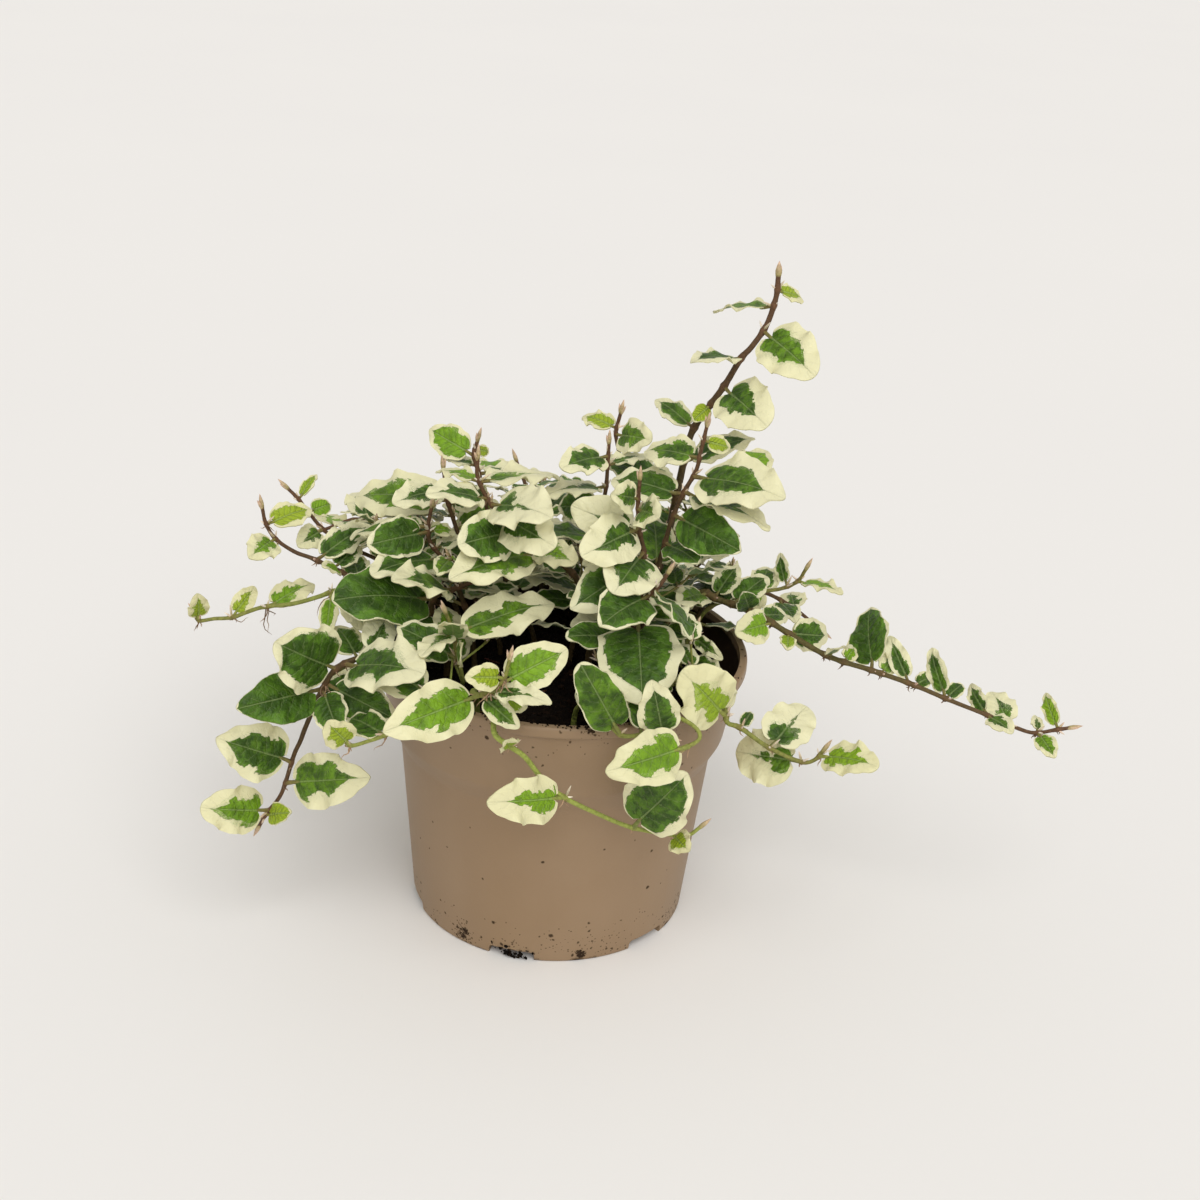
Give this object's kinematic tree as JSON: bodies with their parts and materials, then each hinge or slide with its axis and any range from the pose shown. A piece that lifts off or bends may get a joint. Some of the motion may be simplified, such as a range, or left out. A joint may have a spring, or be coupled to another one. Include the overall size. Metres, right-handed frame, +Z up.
{
  "type": "potted variegated creeping fig",
  "caption": "Variegated creeping fig with wiry trailing stems of small cream-edged leaves, growing in a round taupe nursery pot filled with soil.",
  "frame": {"origin": "middle of the pot's underside, on the surface that it rests on", "axes": "+Z up along the pot's axis; -Y towards the viewer; the long trailing stem reaches towards +X"},
  "size_m": [0.2858, 0.1797, 0.216],
  "materials": {
    "pot": "thin moulded taupe plastic, slightly satin, dusted with soil specks near its foot",
    "soil": "dark moist potting peat with small bark and coir crumbs",
    "back_left_runner": "green young runner; leathery deep green leaves with ragged cream-white margins",
    "back_left_shoot": "brown woody stem; leathery deep green leaves with ragged cream-white margins",
    "back_middle_shoot": "brown woody stem; leathery deep green leaves with ragged cream-white margins",
    "back_right_runner": "green young runner; leathery deep green leaves with ragged cream-white margins",
    "back_right_shoot": "brown woody stem; leathery deep green leaves with ragged cream-white margins",
    "back_right_sprig": "brown woody stem; leathery deep green leaves with ragged cream-white margins",
    "brown_centre_shoot": "brown woody stem; leathery deep green leaves with ragged cream-white margins",
    "curved_left_shoot": "brown woody stem; leathery deep green leaves with ragged cream-white margins",
    "front_centre_shoot": "green young runner; leathery deep green leaves with ragged cream-white margins",
    "front_left_shoot": "brown woody stem; leathery deep green leaves with ragged cream-white margins",
    "front_right_runner": "green young runner; leathery deep green leaves with ragged cream-white margins",
    "front_runner": "green young runner; leathery deep green leaves with ragged cream-white margins",
    "inner_front_stem": "brown woody stem; leathery deep green leaves with ragged cream-white margins",
    "left_front_runner": "green young runner; leathery deep green leaves with ragged cream-white margins",
    "left_inner_shoot": "brown woody stem; leathery deep green leaves with ragged cream-white margins",
    "left_middle_shoot": "brown woody stem; leathery deep green leaves with ragged cream-white margins",
    "left_runner": "green young runner; leathery deep green leaves with ragged cream-white margins",
    "left_shoot": "brown woody stem; leathery deep green leaves with ragged cream-white margins",
    "low_left_sprig": "brown woody stem; leathery deep green leaves with ragged cream-white margins",
    "lower_left_shoot": "brown woody stem; leathery deep green leaves with ragged cream-white margins",
    "right_side_shoot": "brown woody stem; leathery deep green leaves with ragged cream-white margins",
    "right_soil_sprig": "brown woody stem; leathery deep green leaves with ragged cream-white margins",
    "right_trailing_stem": "brown woody stem; leathery deep green leaves with ragged cream-white margins",
    "second_shoot": "brown woody stem; leathery deep green leaves with ragged cream-white margins",
    "short_centre_shoot": "brown woody stem; leathery deep green leaves with ragged cream-white margins",
    "short_right_runner": "green young runner; leathery deep green leaves with ragged cream-white margins",
    "small_left_shoot": "brown woody stem; leathery deep green leaves with ragged cream-white margins",
    "tall_shoot": "brown woody stem; leathery deep green leaves with ragged cream-white margins",
    "thick_left_shoot": "brown woody stem; leathery deep green leaves with ragged cream-white margins",
    "top_centre_shoot": "brown woody stem; leathery deep green leaves with ragged cream-white margins",
    "upper_left_shoot": "brown woody stem; leathery deep green leaves with ragged cream-white margins"
  },
  "bodies": {
    "root": {"back_left_runner": "back_left_runner", "back_left_shoot": "back_left_shoot", "back_middle_shoot": "back_middle_shoot", "back_right_runner": "back_right_runner", "back_right_shoot": "back_right_shoot", "back_right_sprig": "back_right_sprig", "brown_centre_shoot": "brown_centre_shoot", "curved_left_shoot": "curved_left_shoot", "front_centre_shoot": "front_centre_shoot", "front_left_shoot": "front_left_shoot", "front_right_runner": "front_right_runner", "front_runner": "front_runner", "inner_front_stem": "inner_front_stem", "left_front_runner": "left_front_runner", "left_inner_shoot": "left_inner_shoot", "left_middle_shoot": "left_middle_shoot", "left_runner": "left_runner", "left_shoot": "left_shoot", "low_left_sprig": "low_left_sprig", "lower_left_shoot": "lower_left_shoot", "pot": "pot", "right_side_shoot": "right_side_shoot", "right_soil_sprig": "right_soil_sprig", "right_trailing_stem": "right_trailing_stem", "second_shoot": "second_shoot", "short_centre_shoot": "short_centre_shoot", "short_right_runner": "short_right_runner", "small_left_shoot": "small_left_shoot", "soil": "soil", "tall_shoot": "tall_shoot", "thick_left_shoot": "thick_left_shoot", "top_centre_shoot": "top_centre_shoot", "upper_left_shoot": "upper_left_shoot"}
  },
  "joints": []
}
